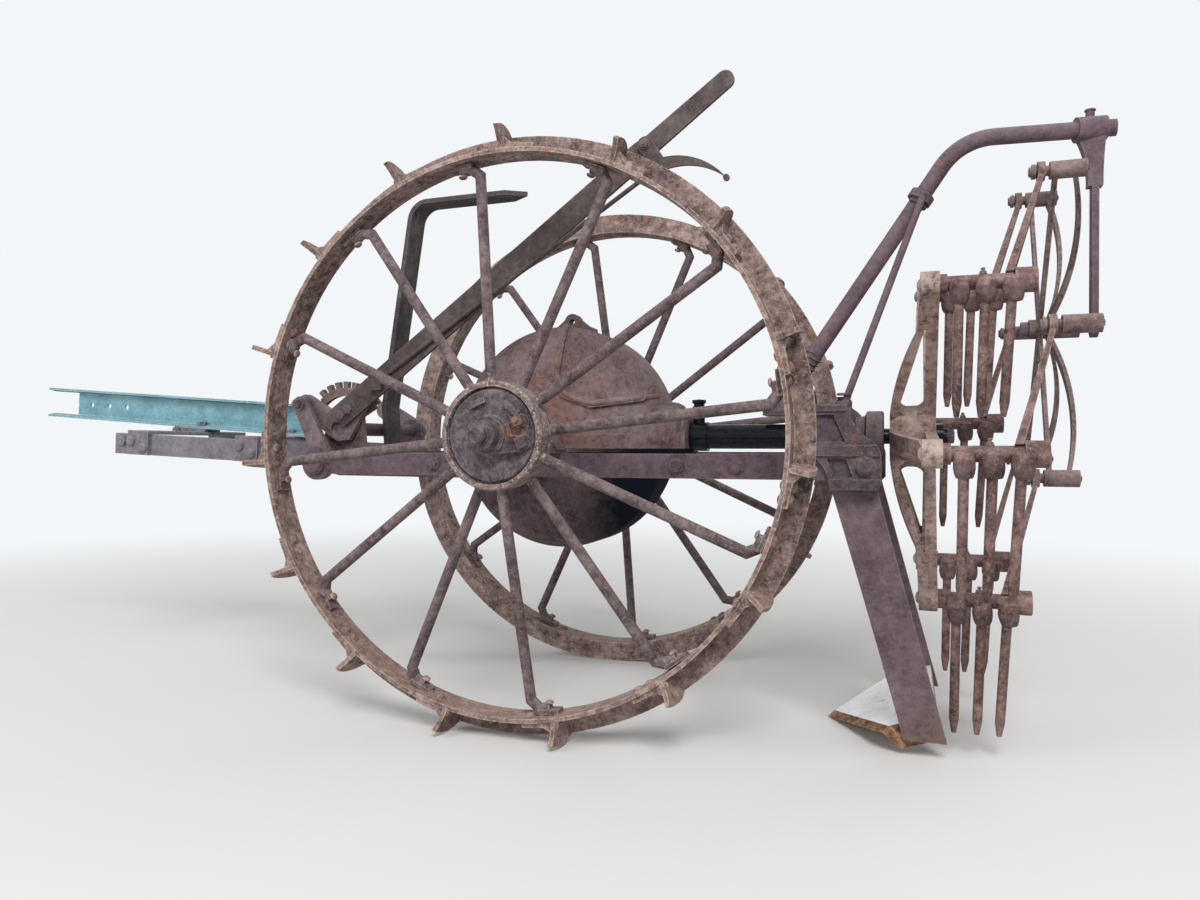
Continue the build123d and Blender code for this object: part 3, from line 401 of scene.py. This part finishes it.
# Rings of radius, height, number of flats (0 is round) and corner slope, in bolt
# diameters; the acorn is in millimetres
SHAPES = {
    "nut": ((1.15, -0.15, 0, 0), (1.15, 0.16, 0, 0), (1.08, 0.2, 0, 0), (0.86, 0.2, 6, 0),
            (0.86, 0.98, 6, CORNER), (0.8, 1.0, 0, 0), (0.5, 1.0, 0, 0), (0.5, 1.28, 0, 0),
            (0.4, 1.38, 0, 0)),
    "head": ((0.86, -0.15, 6, 0), (0.86, 0.66, 6, CORNER), (0.8, 0.7, 0, 0), (0.5, 0.76, 0, 0)),
    "square": ((1.15, -0.15, 0, 0), (1.15, 0.16, 0, 0), (0.85, 0.16, 4, 0),
               (0.85, 0.9, 4, CORNER), (0.8, 0.94, 0, 0), (0.5, 0.94, 0, 0),
               (0.5, 1.25, 0, 0), (0.42, 1.33, 0, 0)),
    "round": ((1.0, -0.1, 0, 0), (1.0, 0.1, 0, 0), (0.92, 0.3, 0, 0), (0.7, 0.48, 0, 0),
              (0.4, 0.58, 0, 0), (0.12, 0.61, 0, 0)),
    "washer": ((1.0, -0.1, 0, 0), (1.0, 0.14, 0, 0), (0.93, 0.2, 0, 0), (0.3, 0.2, 0, 0)),
    "nipple": ((1.0, -0.4, 0, 0), (1.0, 0.3, 0, 0), (0.8, 0.32, 6, 0), (0.8, 0.85, 6, CORNER),
               (0.45, 0.9, 0, 0), (0.42, 1.25, 0, 0), (0.6, 1.4, 0, 0), (0.55, 1.65, 0, 0),
               (0.25, 1.75, 0, 0)),
    "acorn": ((8.5, -38, 0, 0), (11.6, -37.5, 0, 0), (12.8, -36, 0, 0), (15.0, -30, 0, 0),
              (16.3, -22, 0, 0), (16.1, -13, 0, 0), (14.4, -4, 0, 0), (11.0, 2.5, 0, 0),
              (6.0, 5, 0, 0), (1.5, 5.6, 0, 0)),
    "cup": ((1.0, -0.1, 0, 0), (1.0, 1.14, 0, 0), (1.1, 1.16, 0, 0), (1.26, 1.18, 0, 0),
            (1.26, 1.62, 0, 0), (1.05, 1.68, 0, 0), (1.05, 1.78, 0, 0), (1.26, 1.84, 0, 0),
            (1.26, 2.06, 0, 0), (1.1, 2.12, 0, 0)),
}

trees = {}
groups = {}


def seated(node, point, out):
    """Where a line from outside, run against the outward direction, meets a node."""
    if node not in trees:
        mesh = nodes[node].data
        trees[node] = BVHTree.FromPolygons([v.co for v in mesh.vertices],
                                           [p.vertices[:] for p in mesh.polygons])
    hit = trees[node].ray_cast(at(*point) + out * REACH / MM, -out)[0]
    if hit is None:
        raise RuntimeError("no surface of %s at %s" % (node, tuple(point)))
    return hit


def group(name, body, look, slot):
    """Mesh that gathers pieces of one look on one body."""
    if name not in groups:
        groups[name] = (bmesh.new(), body, look, slot)
    return groups[name][0]


def skin(mesh, loops):
    """Faces between loops of equal length, and over both ends."""
    for low, high in zip(loops, loops[1:]):
        for k in range(len(low)):
            mesh.faces.new((low[k - 1], low[k], high[k], high[k - 1]))
    mesh.faces.new(loops[0][::-1])
    mesh.faces.new(loops[-1])


def turned(mesh, base, out, rings, size, spin=0.0):
    """Closed turned shape of rings in units of the size, in mm, on a base point."""
    across = out.cross(UP if abs(out.z) < 0.9 else FORE).normalized()
    other = out.cross(across)
    loops = []
    for radius, height, flats, corner in rings:
        loop = []
        for k in range(SEGMENTS):
            angle = 2 * pi * k / SEGMENTS
            reach = radius
            if flats:
                sector = 2 * pi / flats
                reach = radius / cos(angle % sector - sector / 2)
            rise = height - corner * (reach - radius)
            side = across * cos(angle + spin) + other * sin(angle + spin)
            loop.append(mesh.verts.new(base + (side * reach + out * rise) * size / MM))
        loops.append(loop)
    skin(mesh, loops)


def fasten(mesh, node, spots, out, shape, size, spin=0.0):
    """A turned shape seated on the node at each spot."""
    for spot in spots:
        turned(mesh, seated(node, spot, out), out, SHAPES[shape], size, spin)


def tube(mesh, points, radius, sides=8):
    """Round wire along machine points."""
    points = [at(*p) for p in points]
    angles = [2 * pi * k / sides for k in range(sides)]
    loops = []
    across = None
    for i, point in enumerate(points):
        run = (points[min(i + 1, len(points) - 1)] - points[max(i - 1, 0)]).normalized()
        if across is None:
            across = run.orthogonal()
        across = (across - run * run.dot(across)).normalized()
        other = run.cross(across)
        loops.append([mesh.verts.new(point + (across * cos(a) + other * sin(a)) * radius / MM)
                      for a in angles])
    skin(mesh, loops)


# Wheels: rivets of the lugs' and the spokes' feet, outside and inside the strip

LUGS, LUG_TURN = 15, 180                # number, and turn of the wheel in degrees
SPOKES, SPOKE_TURN = 12, 6
LUG_RIVET_Y, LUG_RIVET_STEPS = 322, (-30, -54)          # steps along the rim
LUG_RIVET_OUTSIDE, LUG_RIVET_INSIDE = 530, 505          # radii they are seated from
SPOKE_RIVET_Y, SPOKE_RIVET_STEP = 318, 36
SPOKE_RIVET_OUTSIDE, SPOKE_RIVET_INSIDE = 520, 500
STRIP_RADIUS = 0.522                    # metres; what is further out is a lug's foot


def rim_ways(degrees):
    """Directions out from the axle and along the rim at an angle from the top."""
    turn = radians(degrees)
    return Vector((sin(turn), 0, cos(turn))), Vector((cos(turn), 0, -sin(turn)))


for side, word in SIDE_NAMES:
    wheel = "wheel_" + word
    rivets = group(wheel + "_rivets", wheel, "tyre_rust", "tyre_rust")
    across = SIDE * side * LUG_RIVET_Y
    for i in range(LUGS):
        radial, along = rim_ways(LUG_TURN + 360 * (i + 0.5) / LUGS)
        feet = [along * step + across for step in LUG_RIVET_STEPS]
        spots = [radial * LUG_RIVET_OUTSIDE + foot for foot in feet]
        fasten(rivets, wheel + "_tyre", spots, radial, "round", 11)
        spots = [radial * LUG_RIVET_INSIDE + foot for foot in feet]
        fasten(rivets, wheel + "_tyre", spots, -radial, "round", 9)
    across = SIDE * side * SPOKE_RIVET_Y
    hub = at(*across)
    for i in range(SPOKES):
        radial, along = rim_ways(SPOKE_TURN + 360 * i / SPOKES)
        foot = along * SPOKE_RIVET_STEP + across
        fasten(rivets, wheel + "_hub", [radial * SPOKE_RIVET_INSIDE + foot], -radial, "round", 8)
        seat = seated(wheel + "_tyre", radial * SPOKE_RIVET_OUTSIDE + foot, radial)
        if (seat - hub).length < STRIP_RADIUS:          # no head on top of a lug's foot
            turned(rivets, seat, radial, SHAPES["round"], 11)

# Digging frame: bolts of the bars, the rear casting, the pipe's foot and the share

BAR_OUTSIDE, BAR_INSIDE, BAR_Z = 206, 194, -56
BAR_BOLTS = ((217, 0.3), (-294, 0.1), (-406, 0.6))      # X and turn of each head
frame_bolts = group("frame_bolts", "main_frame", "frame_rust", "frame_rust")
casting_bolts = group("casting_bolts", "main_frame", "cast_brown", "cast_brown")
for side, word in SIDE_NAMES:
    out = SIDE * side
    bar = "side_bar_" + word
    for x, spin in BAR_BOLTS:
        spot = (x, side * BAR_OUTSIDE, BAR_Z)
        fasten(frame_bolts, bar, [spot], out, "washer", 15)
        fasten(frame_bolts, bar, [spot], out, "head", 12, spin)
    spots = [(x, side * BAR_INSIDE, BAR_Z) for x, spin in BAR_BOLTS]
    fasten(frame_bolts, bar, spots, -out, "nut", 12)
    fasten(casting_bolts, "rear_casting", [(-630, side * 229, -51)], out, "washer", 13)
    spots = [(x, side * 166, -512) for x in (-704, -734)]
    fasten(frame_bolts, "share", spots, -out, "square", 9)
spots = [(x, y, 66) for x in (-484, -440) for y in (-22, 22)]
fasten(casting_bolts, "pipe_arm", spots, UP, "head", 8)
fasten(casting_bolts, "pipe_brace", [(-584, 24, 68)], UP, "washer", 14)
casting_cup = group("casting_cup", "main_frame", "oily_iron", "oily_iron")
fasten(casting_cup, "rear_casting", [(-581, -14, 54)], UP, "cup", 11.5)

# Casing: flange bolts, the bead on each side and the webs of the lifting ear

FLANGE_BOLTS_X, FLANGE_INSET = (120, 185, 232), 7
CASING_SIDE_Y = 110
case_bolts = group("casing_bolts", "main_frame", "casing_rust", "casing_iron")
for x in FLANGE_BOLTS_X:
    for side, word in SIDE_NAMES:
        edge = seated("gear_case_upper", (x, side * CASING_SIDE_Y, -12), SIDE * side) - ORIGIN
        inward = edge.y * MM - side * FLANGE_INSET
        fasten(case_bolts, "gear_case_upper", [(x, inward, 0)], UP, "head", 8)
        fasten(case_bolts, "gear_case_lower", [(x, inward, -34)], -UP, "nut", 6)

BEAD = ((-14, 226), (-14, 150), (-16, 124), (-23, 104), (-36, 88), (-58, 77), (-84, 68),
        (-100, 67), (-140, 72), (-178, 78), (-200, 81), (-216, 83))      # X and Z
BEAD_RADIUS, BEAD_SUNK = 6.2, 2.5
for side, word in SIDE_NAMES:
    bead = group("casing_bead_" + word, "main_frame", "casing_rust", "casing_iron")
    run = [seated("gear_case_upper", (x, side * CASING_SIDE_Y, z), SIDE * side) - ORIGIN
           for x, z in BEAD]
    tube(bead, [p * MM - SIDE * side * BEAD_SUNK for p in run], BEAD_RADIUS, 12)

EAR_X = -14
EAR_WEB = ((10, 262), (16, 256), (34, 241), (52, 233), (52, 224), (10, 226))
EAR_LAYERS = ((-10, 0.97), (-8.5, 1.0), (8.5, 1.0), (10, 0.97))          # Y and size
ear = group("casing_ear_webs", "main_frame", "casing_rust", "casing_iron")
for way in (-1, 1):
    skin(ear, [[ear.verts.new(at(EAR_X + way * x * size, y, z)) for x, z in EAR_WEB]
               for y, size in EAR_LAYERS])

share_bolts = group("share_bolts", "main_frame", "share_steel", "share_steel")
spots = [(x, y, -500) for x in (-735, -700) for y in (-120, 0, 120)]
fasten(share_bolts, "share", spots, UP, "washer", 9)

# Rotor and control star: the shaft's end, and each fork's end bolt, grease nipple,
# bulbs over the tines and the star's pin beside it

FORKS, FORK_TURN, FORK_RADIUS = 6, -5.5, 316
FORK_FRONT_X = -720
NIPPLE_X, NIPPLE_Z = -818, 13
TINES = ((-780, 1.0), (-821, 2.0), (-862, 3.5))         # X and lean in degrees
TINE_OUT = 20
STAR_Y, STAR_Z = -120, 210
PIN_FRONT_X, PIN_BACK_X = -903, -993
rotor_nuts = group("rotor_nuts", "rotor", "dark_bolt", "oily_iron")
fasten(rotor_nuts, "rotor_shaft", [(-772, 0, 0)], -FORE, "head", 16)
for i in range(FORKS):
    turn = radians(FORK_TURN + 360 / FORKS * i)
    y, z = FORK_RADIUS * cos(turn), FORK_RADIUS * sin(turn)
    fork = "fork_%d" % (i + 1)
    end = group(fork + "_end", fork, "soil_crust", "fork_rust")
    fasten(end, fork, [(FORK_FRONT_X, y, z)], FORE, "round", 11)
    nipple = group(fork + "_nipple", fork, "star_rust", "fork_rust")
    fasten(nipple, fork, [(NIPPLE_X, y, z + NIPPLE_Z)], UP, "nipple", 6.5)
    bulbs = group(fork + "_bulbs", fork, "bulb_rust", "fork_rust")
    for x, lean in TINES:
        upward = Vector((sin(radians(lean)), 0, cos(radians(lean))))
        turned(bulbs, at(x, y + TINE_OUT, z), upward, SHAPES["acorn"], 1.0)

    star_nuts = group("star_nuts", "control_star", "dark_bolt", "star_rust")
    y, z = y + STAR_Y, z + STAR_Z
    fasten(star_nuts, "control_star", [(PIN_FRONT_X, y, z)], FORE, "washer", 8)
    fasten(star_nuts, "control_star", [(PIN_BACK_X, y, z)], -FORE, "round", 7)

# Pipe arm: a wire hook, a wrap of wire and the washer on top of the hanger

PIPE_FOOT_X, PIPE_FOOT_Z = -462, 68
PIPE_END_X, PIPE_END_Y = -1039, -120
PIPE_LEAN = 514 / 335    # rise of the pipe for each step back
WRAP_X, WRAP_STEP, WRAP_TURN = -508, 0.5, 0.55          # back and round, for each point
WRAP_POINTS, WRAP_RADIUS, WRAP_WIRE = range(36), 17.6, 1.8
HOOK_X, HOOK_TURN = -716, 0.3
HOOK_POINTS, HOOK_RADIUS, HOOK_WIRE = range(-3, 14), 18.5, 2.6
HOOK_TAIL = ((-3, 2, -12), (-8, 4, -34))                # from the end of the round part


def round_pipe(x, angle, radius):
    """Point at a radius round the pipe's middle at X."""
    y = PIPE_END_Y * (x - PIPE_FOOT_X) / (PIPE_END_X - PIPE_FOOT_X)
    centre = Vector((x, y, PIPE_FOOT_Z - (x - PIPE_FOOT_X) * PIPE_LEAN))
    run = Vector((-1, 0, PIPE_LEAN)).normalized()
    up = run.cross(SIDE).normalized()
    return centre + SIDE * radius * cos(angle) + up * radius * sin(angle)


wire = group("pipe_wire", "main_frame", "dark_bolt", "frame_rust")
wrap = [round_pipe(WRAP_X - WRAP_STEP * k, WRAP_TURN * k, WRAP_RADIUS) for k in WRAP_POINTS]
tube(wire, wrap, WRAP_WIRE)
hook = [round_pipe(HOOK_X, HOOK_TURN * k, HOOK_RADIUS) for k in HOOK_POINTS]
tail = [hook[-1] + Vector(step) for step in HOOK_TAIL]
tube(wire, hook + tail, HOOK_WIRE)
fasten(frame_bolts, "star_hanger", [(-1031, -120, 627)], UP, "washer", 10)

# Drawbar frame, its lever and links

fore_bolts = group("fore_bolts", "fore_frame", "fore_paint", "fore_paint")
for side, word in SIDE_NAMES:
    out = SIDE * side
    outside = side * 164
    spots = [(1066, outside, -8), (1029, outside, -24)]
    fasten(fore_bolts, "fore_cross_front", spots, out, "round", 13)
    spots = [(743, outside, -19), (711, outside, -36)]
    fasten(fore_bolts, "fore_cross_rear", spots, out, "round", 13)
    bar, outside = "fore_bar_" + word, side * 156
    fasten(fore_bolts, bar, [(1098, outside, -7)], out, "head", 12)
    fasten(fore_bolts, bar, [(440, outside, -62), (512, outside, -62)], out, "round", 11)
    fasten(fore_bolts, "fore_cross_front", [(1030, side * 60, 30)], UP, "nut", 10)
fasten(fore_bolts, "drawbar_beam", [(996, 13, 25)], UP, "head", 13, 0.3)
fasten(fore_bolts, "drawbar_beam", [(720, y, 5) for y in (-13, 13)], UP, "head", 11)
fasten(fore_bolts, "seat_spring", [(424, y, -32) for y in (-16, 16)], UP, "head", 9)

lever_bolts = group("lever_bolts", "depth_lever", "frame_rust", "frame_rust")
fasten(lever_bolts, "depth_lever", [(462, 171, 48), (444, 171, 60)], SIDE, "head", 11)
fasten(lever_bolts, "latch_trigger", [(-226, 180, 556)], SIDE, "nut", 9)
for side, word in SIDE_NAMES:
    link = "lift_link_" + word
    nuts = group(link + "_nut", link, "frame_rust", "frame_rust")
    fasten(nuts, link, [(563, side * 190, 72)], SIDE * side, "head", 11)

# The pieces: one mesh for each group, smooth but for its sharp edges

SHARP = radians(35)
for name, (mesh, body, look, slot) in groups.items():
    bmesh.ops.recalc_face_normals(mesh, faces=mesh.faces)
    data = bpy.data.meshes.new(name)
    mesh.to_mesh(data)
    mesh.free()
    data.materials.append(looks[look])
    data.shade_smooth()
    data.set_sharp_from_angle(angle=SHARP)
    piece = bpy.data.objects.new(name, data)
    bpy.context.scene.collection.objects.link(piece)
    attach(piece, body)

# Floor: pale, and blended into the backdrop's colour away from the machine

FLOOR_HALF = 60.0
FLOOR_COLOUR = (0.67, 0.66, 0.645, 1)
FADE_START, FADE_END = 1.0, 4.2         # distances from the middle, in metres
SKY = (0.90, 0.92, 0.94, 1)
LIGHT_ONLY = 0.5                        # strength for rays that only light the scene


def backdrop_strength(tree):
    """1 for rays that show the background, less for those that only light the scene."""
    path = tree.nodes.new("ShaderNodeLightPath")
    seen = plus(tree, path.outputs["Is Camera Ray"], path.outputs["Is Glossy Ray"])
    seen = plus(tree, seen, path.outputs["Is Transmission Ray"])
    return plus(tree, times(tree, seen, 1 - LIGHT_ONLY), LIGHT_ONLY)


floor_mesh = bpy.data.meshes.new("floor")
floor_mesh.from_pydata([(-FLOOR_HALF, -FLOOR_HALF, 0), (FLOOR_HALF, -FLOOR_HALF, 0),
                        (FLOOR_HALF, FLOOR_HALF, 0), (-FLOOR_HALF, FLOOR_HALF, 0)],
                       [], [(0, 1, 2, 3)])
floor = bpy.data.objects.new("floor", floor_mesh)
bpy.context.scene.collection.objects.link(floor)
floor_look = bpy.data.materials.new("floor")
floor_look.use_nodes = True
floor_tree = floor_look.node_tree
floor_shader = floor_tree.nodes["Principled BSDF"]
floor_shader.inputs["Base Color"].default_value = FLOOR_COLOUR
floor_shader.inputs["Roughness"].default_value = 0.9
far = floor_tree.nodes.new("ShaderNodeEmission")
far.inputs["Color"].default_value = SKY
floor_tree.links.new(backdrop_strength(floor_tree), far.inputs["Strength"])
floor_place = floor_tree.nodes.new("ShaderNodeTexCoord")
floor_far = floor_tree.nodes.new("ShaderNodeVectorMath")
floor_far.operation = "LENGTH"
floor_tree.links.new(floor_place.outputs["Object"], floor_far.inputs[0])
floor_fade = floor_tree.nodes.new("ShaderNodeMapRange")
floor_fade.interpolation_type = "SMOOTHSTEP"
floor_fade.inputs["From Min"].default_value = FADE_START
floor_fade.inputs["From Max"].default_value = FADE_END
floor_tree.links.new(floor_far.outputs["Value"], floor_fade.inputs["Value"])
floor_mix = floor_tree.nodes.new("ShaderNodeMixShader")
floor_tree.links.new(floor_fade.outputs["Result"], floor_mix.inputs["Fac"])
floor_tree.links.new(floor_shader.outputs["BSDF"], floor_mix.inputs[1])
floor_tree.links.new(far.outputs["Emission"], floor_mix.inputs[2])
floor_output = floor_tree.nodes["Material Output"]
floor_tree.links.new(floor_mix.outputs["Shader"], floor_output.inputs["Surface"])
floor_mesh.materials.append(floor_look)

# World, lamps and camera

world = bpy.data.worlds.new("studio")
world.use_nodes = True
bpy.context.scene.world = world
background = world.node_tree.nodes["Background"]
background.inputs["Color"].default_value = SKY
world.node_tree.links.new(backdrop_strength(world.node_tree), background.inputs["Strength"])

TARGET = Vector((0, 0, 0.55))
LAMPS = (("key", (-1.8, 3.6, 4.0), 2.4, 215),           # name, place, size and power
         ("fill", (3.2, 3.4, 2.0), 3.0, 105),
         ("back", (-2.6, -4.2, 3.4), 3.4, 62))
for name, place, size, power in LAMPS:
    lamp = bpy.data.lights.new(name, "AREA")
    lamp.shape = "DISK"
    lamp.size = size
    lamp.energy = power
    holder = bpy.data.objects.new(name, lamp)
    holder.location = place
    holder.rotation_euler = (TARGET - Vector(place)).to_track_quat("-Z", "Y").to_euler()
    bpy.context.scene.collection.objects.link(holder)

# The camera stands where the photograph was taken
PHOTO_PLACE = (-689, 1776.6, -14)
LENS, SENSOR = 26.1, 36
YAW = radians(19.1)
PITCH = radians(-0.43)
camera_data = bpy.data.cameras.new("camera")
camera_data.lens = LENS
camera_data.sensor_width = SENSOR
camera_data.clip_start = 0.05
camera = bpy.data.objects.new("camera", camera_data)
camera.location = at(*PHOTO_PLACE)
forward = Vector((sin(YAW) * cos(PITCH), -cos(YAW) * cos(PITCH), sin(PITCH)))
camera.rotation_euler = forward.to_track_quat("-Z", "Y").to_euler()
bpy.context.scene.collection.objects.link(camera)
bpy.context.scene.camera = camera
bpy.context.scene.view_settings.view_transform = "Standard"
